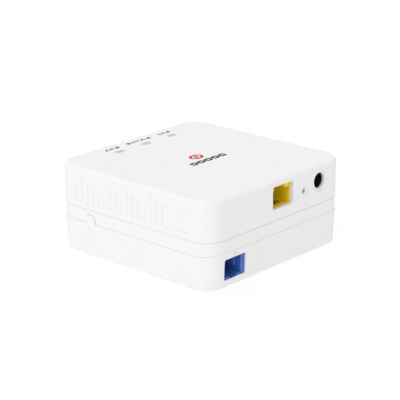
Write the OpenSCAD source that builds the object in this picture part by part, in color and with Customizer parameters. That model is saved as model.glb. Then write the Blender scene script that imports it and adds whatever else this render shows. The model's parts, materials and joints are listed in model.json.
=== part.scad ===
// Optical network terminal: a square fibre modem that stands on a fibre-storage base.
// Millimetres. +Z is up, and the origin is at the centre of the footprint, on the surface
// under the feet. The sockets face -Y and the indicator windows are near the +Y edge.

/* [Case] */
// Side of the square case
case_w = 82; // [80:0.5:90]
// Height of the case without its feet
case_h = 36; // [35.6:0.1:38]
// Radius of the four upright corners
corner_r = 8.3; // [7:0.1:9]
// Radius of the top edge
top_edge_r = 1.5; // [0.8:0.1:1.8]
// Radius of the bottom edge
bottom_edge_r = 1.0; // [0.5:0.1:1.5]
// Thickness of the case walls
wall = 2; // [1.8:0.1:2.2]
// Height of the base cover
base_h = 13.8; // [13.6:0.1:14.5]
// How far each side of the base cover leans in towards its bottom
base_draft = 0.7; // [0:0.05:1.2]
// Height of the band of the middle frame that shows
band_h = 5.6; // [5.4:0.1:6]
// How far the band is set in from the covers
band_inset = 0.3; // [0.1:0.1:0.5]
// Height of the groove between the band and the top cover
groove_h = 0.4; // [0.2:0.1:0.6]

/* [Vents] */
// Number of slots in each vent
vent_count = 20; // [8:1:20]
// Distance between slots
vent_pitch = 3.12; // [2.8:0.02:3.2]
// Width of a slot
vent_w = 1.6; // [1:0.1:2]
// Height of the lowest point of the slots
vent_z = 22.4; // [22:0.1:24]
// Width of the slit that lets air through at the side of a slot
slit_w = 0.35; // [0.3:0.05:0.6]

/* [Indicators] */
// Distance between indicator windows
window_pitch = 15.35; // [12:0.05:17]
// Length of a window
window_l = 4.9; // [3:0.1:6]
// Width of a window
window_w = 2.4; // [1.5:0.1:3]
// Distance of the windows from the middle of the case
window_y = 31; // [28:0.1:33]

/* [Sockets] */
// Distance of the network jack from the middle of the case
lan_x = 2.5; // [0:0.1:4]
// Distance of the power jack from the middle of the case
dc_x = 25.9; // [25:0.1:26.5]
// Bore of the power jack
dc_bore_d = 6.3; // [5.5:0.1:6.5]
// Diameter of the round recess around the power jack
dc_recess_d = 9; // [8.6:0.1:10]
// Distance of the reset hole from the middle of the case
reset_x = 15.8; // [14.8:0.1:16]
// Distance of the fibre adapter from the middle of the case
sc_x = -25.5; // [-26:0.1:-25]
// Travel of the reset plunger
reset_travel = 0.25; // [0.1:0.05:0.3]

/* [Fibre] */
// Diameter of the tight-buffered fibre
fibre_d = 0.9; // [0.6:0.1:0.9]
// Radius of the coiled fibre
coil_r = 22; // [21.6:0.1:22.2]
// Number of turns around the spool
coil_turns = 2.5; // [1.5:1:2.5]

/* [Hidden] */
$fn = 64;
fine = 0.01;
foot_proud = 0.6;

base_z = foot_proud;
base_top = base_z + base_h;
band_top = base_top + band_h;
top_z = base_z + case_h;
half_w = case_w / 2;
front_y = -half_w;

floor_t = 1.6;
shoulder_inset = 0.55;
tongue_t = 1;
tongue_gap = 0.1;
tongue_h = 1.5;
tongue_w = case_w - 2 * (wall + tongue_gap);
inner_w = tongue_w - 2 * tongue_t;

board_w = 74.8;
board_t = 1.6;
board_z = 21.2;
board_top = board_z + board_t;
board_post = [33, 33];
case_post_x = 35.6;
case_post_y = [14.5, -26];
case_post_top = 22;
post_d = 6.4;
boss_d = 5.4;

lan_size = [15.4, 17.8, 11.5];
lan_front_y = front_y + wall + 0.05;
lan_floor_t = 1.6;
lan_roof_t = 1.2;
lan_mouth_w = 11.8;
lan_mouth_h = 6.8;
lan_cut = [12.5, 9.3];
lan_cut_z = 29.15;
contact_count = 8;
contact_pitch = 1.02;
carrier_depth = 4;
contact_t = 0.35;
lan_rear_y = lan_front_y + lan_size.y - 2;
lan_pin_y = lan_rear_y - contact_t / 2;
lan_mouth_depth = lan_size.y - carrier_depth;
lan_well_in = 2.9;
lan_coil_y = -15.8;

dc_size = [9, 13.8, 11];
dc_z = 29.35;
dc_recess_depth = 0.85;
dc_ring_t = 1.2;
dc_front_y = front_y + dc_recess_depth + dc_ring_t + 0.05;
dc_depth = 9.5;
dc_pin_d = 2;
dc_pin_in = 2.6;
dc_spring_t = 0.4;
dc_pin_y = dc_front_y + 3.6;

reset_z = 27.6;
reset_hole_d = 1.8;
reset_sink = [3.3, 0.7];
reset_front_y = -33.4;
reset_body = [6, 3.6, 6.6];
plunger_d = 3.4;
plunger_flange_d = 4.4;
plunger_out = 2.4;

sc_z = 7.7;
sc_size = [12.8, 27.4, 9.3];
sc_front_y = front_y + 1.25;
sc_cut = [12.3, 8.5];
sc_mouth = [9.4, 7.6];
sc_mouth_depth = 11.5;
sc_mid_y = sc_front_y + sc_size.y / 2;
sc_rear_y = sc_front_y + sc_size.y;
pocket_w = 15.4;
pocket_wall = 1.2;
sleeve_l = 11.4;
ferrule_d = 2.5;
plug_grip = [9, 14.6, 7.4];
plug_end_y = 2.5;
boot_end_y = 12;

coil_c = [2, 12];
coil_z = sc_z;
coil_rise = 1.1;
entry_steps = 8;
coil_steps = 70;
spool_r = coil_r - 0.8;
spool_h = 8.2;
slot_in = coil_r - 0.7;
slot_out = coil_r + 1.4;

bosa_axis_z = board_top + 3.25;
bosa_x = -28;
bosa_y = coil_c.y - coil_r;
bosa_boot_x = -14;

window_x0 = 0.65;
foot_xy = 30.5;
foot_d = 9;
foot_t = 1.6;
keyhole_pitch = 50;
keyhole_y = 18;
base_floor_t = 1.8;

white = [0.93, 0.93, 0.92];

// ---- shared shapes ----

module rounded_rect(w, d, r) {
    square([w - 2 * r, d], center = true);
    square([w, d - 2 * r], center = true);
    for (x = [-1, 1], y = [-1, 1])
        translate([x * (w / 2 - r), y * (d / 2 - r)]) circle(r);
}

// Flat slab with rounded upright corners.
module slab(w, d, r, z0, z1) {
    translate([0, 0, z0]) linear_extrude(z1 - z0) rounded_rect(w, d, r);
}

// Half of a section whose upper outer corner is rounded, and whose side leans in by draft.
module edge_section(reach, h, e, draft) {
    lean = atan(draft / h);
    centre = [reach - (e + (h - e) * sin(lean)) / cos(lean), h - e];
    polygon([[0, 0], [reach, 0], centre + e * [cos(lean), sin(lean)],
             centre, [centre.x, h], [0, h]]);
    // the rounding, as the slice of a disc between the side and the top
    translate(centre) intersection() {
        circle(e);
        polygon([[0, 0], 2 * e * [cos(lean), sin(lean)], [2 * e, 2 * e], [0, 2 * e]]);
    }
}

// Block with rounded upright corners and a rounded top edge, made of straight runs and
// quarter turns that meet face to face.
module soft_block(w, h, r, e, draft = 0) {
    run = w - 2 * r;
    for (turn = [0, 90, 180, 270])
        rotate([0, 0, turn]) {
            translate([-run / 2, 0, 0]) rotate([90, 0, 90])
                linear_extrude(run) edge_section(w / 2, h, e, draft);
            translate([run / 2, run / 2, 0])
                rotate_extrude(angle = 90) edge_section(r, h, e, draft);
        }
}

// Upright stadium: a slot outline with round ends, standing on y = 0.
module slot_outline(w, h) {
    translate([-w / 2, w / 2]) square([w, h - w]);
    translate([0, w / 2]) circle(w / 2);
    translate([0, h - w / 2]) circle(w / 2);
}

// Stadium lying along X, centred.
module oval(l, w) {
    square([l - w, w], center = true);
    for (side = [-1, 1])
        translate([side * (l - w) / 2, 0]) circle(w / 2);
}

module at_case_posts() {
    for (side = [-1, 1], y = case_post_y)
        translate([side * case_post_x, y, 0]) children();
}

module at_board_posts() {
    for (x = [-1, 1], y = [-1, 1])
        translate([x * board_post.x, y * board_post.y, 0]) children();
}

module box_on(size, centre, z) {
    translate([centre.x - size.x / 2, centre.y - size.y / 2, z]) cube(size);
}

// Ring sector around the coil centre, between two angles less than half a turn apart.
module coil_slot(from_angle, to_angle) {
    reach = 3 * coil_r;
    translate(coil_c) intersection() {
        difference() {
            circle(slot_out);
            circle(slot_in);
        }
        polygon([[0, 0],
                 reach * [cos(from_angle), sin(from_angle)],
                 reach * [cos((from_angle + to_angle) / 2), sin((from_angle + to_angle) / 2)],
                 reach * [cos(to_angle), sin(to_angle)]]);
    }
}

// ---- case ----

// The slots' heights repeat in groups of four, counted from the +Y end.
vent_tops = [6.8, 11.2, 9.25, 8.7];
// Slots in front of a post are shallow and let no air through.
blind_slots = [5, 16, 17, 18, 19];
blind_depth = 0.35;
open_depth = 0.8;
slit_end = 0.45;

// Louvred slot: its floor starts flush with the wall near the +Y side and slopes down
// towards -Y, where an open one has a slit through the wall.
module vent_slot(h, depth, with_slit) {
    flush_y = vent_w / 2 - 0.04;
    slope = depth / (flush_y + vent_w / 2);
    reach = vent_w / 2 + 0.1;
    intersection() {
        translate([-half_w - 1, 0, 0]) rotate([90, 0, 90])
            linear_extrude(wall + 1) slot_outline(vent_w, h);
        translate([-half_w, 0, -1]) linear_extrude(h + 2)
            polygon([[-1, reach], [(flush_y - reach) * slope, reach],
                     [(flush_y + reach) * slope, -reach], [-1, -reach]]);
    }
    if (with_slit)
        translate([-half_w, -(vent_w - slit_w) / 2, slit_end]) rotate([90, 0, 90])
            linear_extrude(wall + 1) slot_outline(slit_w, h - 2 * slit_end);
}

module vent_slots() {
    for (i = [0 : vent_count - 1]) {
        blind = len(search(i, blind_slots)) > 0;
        translate([0, (vent_count - 1) * vent_pitch / 2 - i * vent_pitch, vent_z])
            vent_slot(vent_tops[i % len(vent_tops)], blind ? blind_depth : open_depth, !blind);
    }
}

module front_cut(w, h, r, x, z, depth) {
    translate([x, front_y - 1, z]) rotate([-90, 0, 0])
        linear_extrude(depth + 1) rounded_rect(w, h, r);
}

module top_cover() color(white) difference() {
    union() {
        difference() {
            translate([0, 0, band_top + groove_h / 2])
                soft_block(case_w, top_z - band_top - groove_h / 2, corner_r, top_edge_r);
            slab(case_w - 2 * wall, case_w - 2 * wall, corner_r - wall, band_top - 1, top_z - wall);
        }
        // screw bosses, each tied to the wall by a rib
        at_case_posts() translate([0, 0, case_post_top])
            cylinder(d = boss_d, h = top_z - wall - case_post_top + fine);
        for (side = [-1, 1], y = case_post_y)
            box_on([3.2, 2, top_z - wall - case_post_top + fine],
                   [side * (half_w - wall - 1), y], case_post_top);
        // cup behind the round recess of the power jack
        translate([dc_x, front_y + wall / 2, dc_z]) rotate([-90, 0, 0])
            cylinder(d = dc_recess_d + 2, h = dc_recess_depth + dc_ring_t - wall / 2);
    }
    at_case_posts() translate([0, 0, case_post_top - 1]) cylinder(d = 2.1, h = 10);
    vent_slots();
    mirror([1, 0, 0]) vent_slots();
    front_cut(lan_cut.x, lan_cut.y, 0.8, lan_x, lan_cut_z, wall + 0.5);
    // power jack: recess and plug opening
    translate([dc_x, front_y - 1, dc_z]) rotate([-90, 0, 0]) {
        cylinder(d = dc_recess_d, h = dc_recess_depth + 1);
        cylinder(d = dc_bore_d + 0.2, h = dc_recess_depth + dc_ring_t + 2);
    }
    // reset hole with its countersink
    translate([reset_x, front_y, reset_z]) rotate([-90, 0, 0]) {
        translate([0, 0, -1]) cylinder(d = reset_hole_d, h = wall + 2);
        cylinder(d1 = reset_sink[0], d2 = reset_hole_d, h = reset_sink[1]);
        translate([0, 0, -1]) cylinder(d = reset_sink[0], h = 1 + fine);
    }
    for (i = [-1 : 1])
        translate([window_x0 + i * window_pitch, window_y, top_z - wall - 1])
            linear_extrude(wall + 2) oval(window_l + 0.1, window_w + 0.1);
}

pry_top = 3.4;
pry_r = 0.8;
pry_y = [24.3, 20.2, 19.3];

// Outline of the pry tab in the Y-Z plane, grown by a clearance on its sides and top.
module pry_outline(grow) {
    r = pry_r + grow;
    left = pry_y[0] + grow;
    right = pry_y[1] - grow;
    root = pry_y[2] - grow;
    top = base_top + pry_top + grow;
    foot = grow > 0 ? base_top - 1 : base_top - fine;
    polygon([[left, foot], [left, top - r], [left - r, top], [right + r, top],
             [right, top - r], [root, base_top], [root, foot]]);
    for (y = [left - r, right + r])
        translate([y, top - r]) circle(r);
}

module pry_solid(grow, depth) {
    translate([-half_w, 0, 0]) rotate([90, 0, 90]) linear_extrude(depth) pry_outline(grow);
}

spool_tab = [10, 4.2, 0.8];
rail_t = 1.2;
rail_bottom = 3.2;
rail_gap = 0.1;

// Rails, rear stops and a pad that seat the fibre adapter under the floor.
module adapter_seat() {
    rail_h = base_top - rail_bottom + fine;
    inner_x = sc_size.x / 2 + rail_gap;
    stop_w = 3;
    for (side = [-1, 1]) {
        box_on([rail_t, sc_size.y - 1, rail_h],
               [sc_x + side * (inner_x + rail_t / 2), sc_mid_y + 0.5], rail_bottom);
        box_on([stop_w, rail_t, rail_h],
               [sc_x + side * (inner_x + rail_t - stop_w / 2), sc_rear_y + rail_gap + rail_t / 2],
               rail_bottom);
    }
    pad_z = sc_z + sc_size.z / 2 + 0.05;
    box_on([6, 18, base_top - pad_z + fine], [sc_x, sc_mid_y], pad_z);
}

module fibre_spool() {
    translate([coil_c.x, coil_c.y, base_top - spool_h]) {
        difference() {
            cylinder(r = spool_r, h = spool_h + fine);
            translate([0, 0, -1]) cylinder(r = spool_r - 1.2, h = spool_h + 1);
        }
        for (turn = [45 : 90 : 315])
            rotate([0, 0, turn]) translate([spool_r - 0.6, -spool_tab.x / 2, 0])
                cube([spool_tab.y, spool_tab.x, spool_tab.z]);
    }
}

module middle_frame() color(white) difference() {
    union() {
        difference() {
            union() {
                slab(case_w - 2 * band_inset, case_w - 2 * band_inset, corner_r - band_inset,
                     base_top, band_top - groove_h / 2);
                // shoulder that the top cover rests on, inside the groove
                slab(case_w - 2 * shoulder_inset, case_w - 2 * shoulder_inset,
                     corner_r - shoulder_inset, band_top - 1, band_top + groove_h / 2);
                // tongue up into the top cover and skirt down into the base cover
                slab(tongue_w, tongue_w, corner_r - wall - tongue_gap,
                     base_top - tongue_h, band_top + groove_h / 2 + tongue_h);
            }
            slab(inner_w, inner_w, corner_r - wall - tongue_gap - tongue_t, base_top + floor_t, top_z);
            slab(inner_w, inner_w, corner_r - wall - tongue_gap - tongue_t, 0, base_top);
            // slot where the fibre climbs to the board
            translate([0, 0, base_top - 1]) linear_extrude(floor_t + 2)
                coil_slot(frame_slot[0], frame_slot[1]);
            // the skirt stops at the fibre adapter
            translate([sc_x - pocket_w / 2 - 0.1, front_y, base_top - 5])
                cube([pocket_w + 0.2, 4, 5]);
            pry_solid(0.15, wall + 0.2);
        }
        at_case_posts() translate([0, 0, base_top + fine])
            cylinder(d = post_d, h = case_post_top - base_top - fine);
        at_board_posts() translate([0, 0, base_top + fine])
            cylinder(d = 5, h = board_z - base_top - fine);
        adapter_seat();
        fibre_spool();
    }
    // screws: clearance holes with sunk heads, and pilot holes for the board
    at_case_posts() translate([0, 0, base_top - 3]) {
        cylinder(d = 4.6, h = 5);
        cylinder(d = 2.5, h = 20);
    }
    at_board_posts() translate([0, 0, board_z - 4.2]) cylinder(d = 1.9, h = 6);
}

module keyhole() {
    circle(d = 7.6);
    translate([-2, 0]) square([4, 7]);
    translate([0, 7]) circle(d = 4);
}

module base_cover() color(white) {
    floor_top = base_z + base_floor_t;
    difference() {
        translate([0, 0, base_top]) mirror([0, 0, 1])
            soft_block(case_w, base_h, corner_r, bottom_edge_r, base_draft);
        slab(case_w - 2 * wall, case_w - 2 * wall, corner_r - wall, floor_top, base_top + 1);
        // thinner wall in front of the adapter, with its opening
        translate([sc_x - pocket_w / 2, front_y + pocket_wall, floor_top])
            cube([pocket_w, wall, base_h]);
        front_cut(sc_cut.x, sc_cut.y, 0.8, sc_x, sc_z, wall);
        for (side = [-1, 1])
            translate([side * keyhole_pitch / 2, keyhole_y, 0]) linear_extrude(5) keyhole();
        for (x = [-1, 1], y = [-1, 1])
            translate([x * foot_xy, y * foot_xy, 0]) cylinder(d = foot_d + 0.4, h = foot_t);
    }
    // ribs under the adapter
    for (side = [-1, 1])
        box_on([1.2, 20, sc_z - sc_size.z / 2 - floor_top - 0.05 + fine], [sc_x + side * 4, sc_mid_y],
               floor_top - fine);
    pry_solid(0, pocket_wall);
}

module rubber_feet() color([0.25, 0.25, 0.26])
    for (x = [-1, 1], y = [-1, 1])
        translate([x * foot_xy, y * foot_xy, 0]) cylinder(d = foot_d, h = foot_t);

module light_guide() color([0.85, 0.87, 0.88]) {
    led_gap = 1.5;
    pipe_z = board_top + led_gap;
    for (i = [-1 : 1])
        translate([window_x0 + i * window_pitch, window_y, pipe_z])
            linear_extrude(top_z - pipe_z) oval(window_l, window_w);
    box_on([2 * window_pitch + window_l, window_w + 1.2, 1.6], [window_x0, window_y], top_z - wall - 1.7);
}

// ---- screws ----

module screw(head_d, head_h, shaft_d, length) {
    difference() {
        cylinder(d = head_d, h = head_h);
        for (turn = [0, 90])
            rotate([0, 0, turn]) translate([-head_d * 0.3, -0.2, -fine])
                cube([head_d * 0.6, 0.4, head_h / 2]);
    }
    translate([0, 0, head_h - fine]) cylinder(d = shaft_d, h = length);
    translate([0, 0, head_h + length - 2 * fine]) cylinder(d1 = shaft_d, d2 = 0.5, h = 0.8);
}

module case_screws() color("silver")
    at_case_posts() translate([0, 0, base_top + 0.7]) screw(4, 1.3, 2, 12);

module board_screws() color("silver")
    at_board_posts() translate([0, 0, board_top + 1.3]) mirror([0, 0, 1]) screw(3.8, 1.3, 1.8, 4.6);

// ---- board and its parts ----

module main_board() color([0.05, 0.35, 0.2]) difference() {
    slab(board_w, board_w, 5, board_z, board_top);
    at_case_posts() translate([0, 0, board_z - 1])
        cylinder(d = post_d + 0.6, h = board_t + 2);
    at_board_posts() translate([0, 0, board_z - 1])
        cylinder(d = 2.4, h = board_t + 2);
    translate([0, 0, board_z - 1]) linear_extrude(board_t + 2)
        coil_slot(board_slot[0], board_slot[1]);
    // pin holes of the two jacks
    for (i = [0 : contact_count - 1])
        translate([contact_x(i), lan_pin_y, board_z - 1])
            cylinder(d = 0.9, h = board_t + 2, $fn = 24);
    translate([dc_x, dc_pin_y, board_z - 1]) cylinder(d = 2, h = board_t + 2);
}

module lan_jack_housing() color([0.93, 0.75, 0.1]) difference() {
    box_on(lan_size, [lan_x, lan_front_y + lan_size.y / 2], board_top);
    mouth_z = board_top + lan_floor_t;
    mouth_top = mouth_z + lan_mouth_h;
    // plug opening, with the two steps of the latch channel above it
    box_on([lan_mouth_w, 2 * lan_mouth_depth, lan_mouth_h], [lan_x, lan_front_y], mouth_z);
    box_on([6.4, 2 * lan_mouth_depth, 1.6], [lan_x, lan_front_y], mouth_top - fine);
    box_on([3.6, 10, 0.8], [lan_x, lan_front_y], mouth_top + 1.6 - 2 * fine);
    // well in the floor, which the contacts rise from
    well_l = lan_mouth_depth - lan_well_in + fine;
    box_on([9.4, well_l, lan_floor_t + 1 + fine], [lan_x, lan_front_y + lan_well_in + well_l / 2],
           board_top - 1);
    // rear bay of the contact carrier
    box_on([12.6, 2 * carrier_depth, lan_size.z - lan_roof_t + 1], [lan_x, lan_front_y + lan_size.y],
           board_top - 1);
}

module lan_jack_carrier() color([0.2, 0.2, 0.2])
    difference() {
        box_on([12.5, carrier_depth - 0.1, lan_size.z - lan_roof_t - 0.1],
               [lan_x, lan_front_y + lan_size.y - carrier_depth / 2 + 0.05], board_top);
        for (i = [0 : contact_count - 1])
            translate([contact_x(i) - 0.3, lan_front_y, board_top - 1])
                cube([0.6, lan_size.y - 1.5, lan_size.z + 2]);
    }

function contact_x(i) = lan_x + (i - (contact_count - 1) / 2) * contact_pitch;

// Each contact is a hairpin strip: it leaves the board in the carrier, runs forward under the
// jack's floor, and turns back up into the plug opening.
module lan_jack_contacts() color([0.9, 0.7, 0.25]) {
    t = contact_t;
    slope = 26;
    bend = [lan_front_y + lan_well_in + 1.25, board_top + 0.5];
    arm = 7.5 * [cos(slope), sin(slope)];
    inner = t * (1 + cos(slope)) / sin(slope);
    for (i = [0 : contact_count - 1])
        translate([contact_x(i) - 0.2, 0, 0]) rotate([90, 0, 90]) linear_extrude(0.4)
            polygon([[lan_rear_y, board_z - 1],
                     [lan_rear_y, bend.y + t],
                     [bend.x + inner, bend.y + t],
                     bend + arm + t * [sin(slope), -cos(slope)],
                     bend + arm,
                     bend,
                     [lan_rear_y - t, bend.y],
                     [lan_rear_y - t, board_z - 1]]);
}

module power_jack_housing() color([0.08, 0.08, 0.08]) difference() {
    box_on(dc_size, [dc_x, dc_front_y + dc_size.y / 2], board_top);
    translate([dc_x, dc_front_y - 1, dc_z]) rotate([-90, 0, 0]) {
        cylinder(d = dc_bore_d, h = dc_depth + 1);
        cylinder(d = dc_pin_d, h = dc_size.y + 2);
    }
    // slit for the spring contact
    translate([dc_x - 0.9, dc_front_y + 3, board_top - 1])
        cube([1.8, dc_size.y - 6, dc_z - dc_bore_d / 2 + 0.5 - board_top + 1]);
}

module power_jack_pin() color("silver")
    translate([dc_x, dc_front_y + dc_pin_in, dc_z]) rotate([-90, 0, 0]) {
        translate([0, 0, 0.4]) cylinder(d = dc_pin_d, h = dc_size.y - dc_pin_in);
        cylinder(d1 = 1.2, d2 = dc_pin_d, h = 0.4 + fine);
    }

// Leaf spring: it comes up from the board and bows into the bottom of the bore.
module power_jack_spring() color("silver") {
    t = dc_spring_t;
    foot_y = dc_pin_y - t / 2;
    bore_bottom = dc_z - dc_bore_d / 2;
    translate([dc_x - 0.7, 0, 0]) rotate([90, 0, 90]) linear_extrude(1.4)
        polygon([[foot_y, board_z - 1], [foot_y, bore_bottom - 0.8],
                 [foot_y + 3.4, bore_bottom + 0.4], [foot_y + 3.6, bore_bottom],
                 [foot_y + t, bore_bottom - 1.2], [foot_y + t, board_z - 1]]);
}

module reset_switch_body() color([0.1, 0.1, 0.1]) difference() {
    union() {
        translate([reset_x - reset_body.x / 2, reset_front_y, reset_z - reset_body.z / 2])
            cube(reset_body);
        for (side = [-1, 1])
            box_on([0.8, reset_body.y, reset_z - board_top],
                   [reset_x + side * 2.6, reset_front_y + reset_body.y / 2], board_top);
    }
    translate([reset_x, reset_front_y, reset_z]) rotate([-90, 0, 0]) {
        translate([0, 0, -1]) cylinder(d = plunger_d + 0.16, h = 3);
        translate([0, 0, 0.8]) cylinder(d = plunger_flange_d + 0.4, h = 1.35 + reset_travel);
    }
}

module reset_plunger() color([0.9, 0.9, 0.88])
    translate([reset_x, reset_front_y - plunger_out, reset_z]) rotate([-90, 0, 0]) {
        translate([0, 0, 0.3]) cylinder(d = plunger_d, h = plunger_out + 0.6);
        cylinder(d1 = plunger_d - 0.6, d2 = plunger_d, h = 0.3 + fine);
        translate([0, 0, plunger_out + 0.85]) cylinder(d = plunger_flange_d, h = 1.2);
    }

module status_leds() color("white")
    for (i = [-1 : 1])
        box_on([3, 1.4, 0.8], [window_x0 + i * window_pitch, window_y], board_top);

// Flat chip with a row of flat pins on two sides, or on all four.
module chip(size, pins, pitch, all_round) {
    box_on([size.x, size.y, size.z - 0.1], [0, 0], board_top + 0.1);
    for (turn = all_round ? [0, 90, 180, 270] : [0, 180]) {
        reach = (turn % 180 == 0 ? size.y : size.x) / 2;
        rotate([0, 0, turn])
            for (i = [0 : pins - 1])
                box_on([pitch / 2, 1.1, 0.25], [(i - (pins - 1) / 2) * pitch, reach + 0.25],
                       board_top);
    }
}

module system_chip() color([0.12, 0.12, 0.13])
    translate(concat(coil_c, 0)) chip([12, 12, 1.4], 12, 0.8, true);

module flash_chip() color([0.12, 0.12, 0.13])
    translate([coil_c.x - 13, coil_c.y, 0]) rotate([0, 0, 90]) chip([5, 5.2, 1.7], 4, 1.27, false);

module laser_driver_chip() color([0.12, 0.12, 0.13])
    translate([-28, 6, 0]) chip([4, 4, 0.9], 5, 0.6, true);

module regulator_chips() color([0.12, 0.12, 0.13]) {
    translate([23, -11.5, 0]) chip([5, 3.9, 1.5], 4, 1.27, false);
    translate([31, 5, 0]) rotate([0, 0, 90]) chip([5, 3.9, 1.5], 4, 1.27, false);
}

module reference_crystal() color("silver") {
    box_on([5, 3.2, 0.5], [coil_c.x, coil_c.y + 13], board_top);
    box_on([4.4, 2.6, 0.7], [coil_c.x, coil_c.y + 13], board_top + 0.5 - fine);
}

module lan_transformer() color([0.1, 0.1, 0.1]) {
    size = [12.7, 7, 5];
    box_on([size.x, size.y, size.z - 0.3], [lan_x, lan_coil_y], board_top + 0.3);
    for (side = [-1, 1], i = [0 : 7])
        box_on([0.5, 1.4, 0.4],
               [lan_x + (i - 3.5) * 1.27, lan_coil_y + side * (size.y / 2 + 0.2)], board_top);
}

module power_inductors() color([0.3, 0.3, 0.32])
    for (x = [16.5, 24.5])
        translate([x, -19.5, board_top]) {
            box_on([6, 6, 1], [0, 0], 0);
            translate([0, 0, 1 - fine]) cylinder(d = 5, h = 1.4);
            box_on([6, 6, 0.8], [0, 0], 2.4 - 2 * fine);
        }

module bulk_capacitors() color([0.15, 0.2, 0.45])
    for (y = [-17.5, -7])
        translate([32, y, board_top]) {
            cylinder(d = 8, h = 0.9);
            translate([0, 0, 0.9 - fine]) cylinder(d = 7.4, h = 0.7);
            translate([0, 0, 1.6 - 2 * fine]) cylinder(d = 8, h = 7.4);
        }

module input_diode() color([0.12, 0.12, 0.13]) {
    diode = [23.5, -6.2];
    box_on([4.4, 2.6, 2.1], [diode.x, diode.y], board_top + 0.1);
    for (side = [-1, 1])
        box_on([1, 1.6, 0.3], [diode.x + side * 2.2, diode.y], board_top);
}

// Two-terminal part, with its long side along X.
module small_part(l, w, h) {
    box_on([l, w, h], [0, 0], board_top);
}

module ceramic_capacitors() color([0.72, 0.6, 0.42]) {
    // around the system chip
    for (turn = [0, 90, 180, 270], i = [-2 : 2])
        translate(concat(coil_c, 0)) rotate([0, 0, turn]) translate([i * 2.4, 8.6, 0])
            rotate([0, 0, 90]) small_part(1.6, 0.8, 0.8);
    // beside the laser driver
    for (i = [0 : 4])
        translate([-31 + i * 2.4, 11.5, 0]) small_part(1.6, 0.8, 0.8);
}

module resistors() color([0.1, 0.1, 0.1]) {
    // one in series with each LED
    for (i = [-1 : 1])
        translate([window_x0 + i * window_pitch, window_y + 3.6, 0]) small_part(1.6, 0.8, 0.5);
    // terminations between the transformer and the network jack
    for (i = [0 : 3])
        translate([-9, -14 - i * 2, 0]) small_part(1.6, 0.8, 0.5);
}

// ---- transceiver ----

module transceiver_block() color("silver") {
    box_on([8, 6.5, 6.5], [bosa_x, bosa_y], board_top);
    translate([bosa_x + 4 - fine, bosa_y, bosa_axis_z]) rotate([0, 90, 0]) cylinder(d = 4.6, h = 5.5);
}

// Round can with its leads, standing along +Z from its mounting face.
module header_can(d, h, lead_l) {
    cylinder(d = d, h = 1.2);
    translate([0, 0, 1.2 - fine]) cylinder(d = d - 0.8, h = h - 1.2);
    for (i = [-1 : 1])
        translate([0, i * 1.3, h - 2 * fine]) cylinder(d = 0.45, h = lead_l);
}

module laser_can() color([0.8, 0.7, 0.45])
    translate([bosa_x - 4, bosa_y, bosa_axis_z]) rotate([0, -90, 0]) header_can(5.6, 4, 1.4);

module receiver_can() color([0.8, 0.7, 0.45])
    translate([bosa_x, bosa_y + 3.25, bosa_axis_z]) rotate([-90, 0, 0]) header_can(4.6, 3.4, 1.2);

module transceiver_strain_relief() color([0.1, 0.1, 0.1])
    translate([bosa_x + 9.5, bosa_y, bosa_axis_z]) rotate([0, 90, 0])
        cylinder(d1 = 3.6, d2 = 1.8, h = bosa_boot_x - bosa_x - 9.5);

// ---- fibre ----

// Height of the fibre above the start of its climb, as a share of the climb, after s turns.
function climb_share(s) = s - 0.5 * sin(360 * s) / (2 * PI);
function smooth_turn(t) = max(0, t - (coil_turns - 1));
flat_turns = coil_turns - 1;
climb_z = coil_z + coil_rise * flat_turns;
function coil_height(t) = t <= flat_turns
    ? coil_z + coil_rise * t
    : climb_z + (bosa_axis_z - climb_z) * climb_share(smooth_turn(t));
function around(c, r, angle, z) = [c.x + r * cos(angle), c.y + r * sin(angle), z];

// The fibre leaves the plug's boot along +Y, turns onto the coil, and climbs in the last turn.
fibre_path = concat(
    [for (i = [0 : entry_steps - 1])
        around([sc_x + coil_r, coil_c.y], coil_r, 180 - 90 * i / entry_steps, coil_z)],
    [[sc_x + coil_r, coil_c.y + coil_r, coil_z]],
    [for (i = [0 : coil_steps])
        let (turns = coil_turns * i / coil_steps)
            around(coil_c, coil_r, 90 - 360 * turns, coil_height(turns))],
    [[bosa_boot_x, bosa_y, bosa_axis_z]]);

frame_slot = [96, 148];
board_slot = [-14, 48];

// Tube swept along a list of points, with flat ends.
module tube(path, r, sides) {
    count = len(path);
    function unit(v) = v / norm(v);
    function heading(i) = unit(path[min(i + 1, count - 1)] - path[max(i - 1, 0)]);
    function ring(i) =
        let (side = unit(cross(heading(i), [0, 0, 1])), up = cross(side, heading(i)))
            [for (k = [0 : sides - 1])
                path[i] + r * (cos(360 * k / sides) * side + sin(360 * k / sides) * up)];
    points = [for (i = [0 : count - 1]) each ring(i)];
    walls = [for (i = [0 : count - 2], k = [0 : sides - 1])
        let (a = i * sides + k, b = i * sides + (k + 1) % sides)
        each [[a, b, b + sides], [a, b + sides, a + sides]]];
    first_end = [for (k = [sides - 1 : -1 : 0]) k];
    last_end = [for (k = [0 : sides - 1]) (count - 1) * sides + k];
    polyhedron(points, concat(walls, [first_end, last_end]));
}

module fibre_pigtail() color([0.95, 0.95, 0.9]) tube(fibre_path, fibre_d / 2, 8);

module plug_body() color([0.9, 0.9, 0.9]) difference() {
    front_y0 = sc_mid_y + 3.6;
    translate([sc_x - 3.4, front_y0, sc_z - 3.3]) cube([6.8, sc_rear_y + 0.3 - front_y0, 6.6]);
    translate([sc_x, front_y0 - 1, sc_z]) rotate([-90, 0, 0]) {
        cylinder(d = 5.4, h = 4);
        cylinder(d = ferrule_d, h = 10);
    }
}

module plug_grip() color([0.1, 0.3, 0.75]) difference() {
    start_y = sc_rear_y + 0.3;
    translate([sc_x - plug_grip.x / 2, start_y, sc_z - plug_grip.z / 2])
        cube([plug_grip.x, plug_end_y - start_y, plug_grip.z]);
    // finger grooves on the broad faces
    for (side = [-1, 1], i = [0 : 4])
        translate([sc_x - plug_grip.x / 2 - 1, start_y + 4 + i * 1.8, sc_z + side * plug_grip.z / 2 - 0.3])
            cube([plug_grip.x + 2, 0.8, 0.6]);
}

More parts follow.
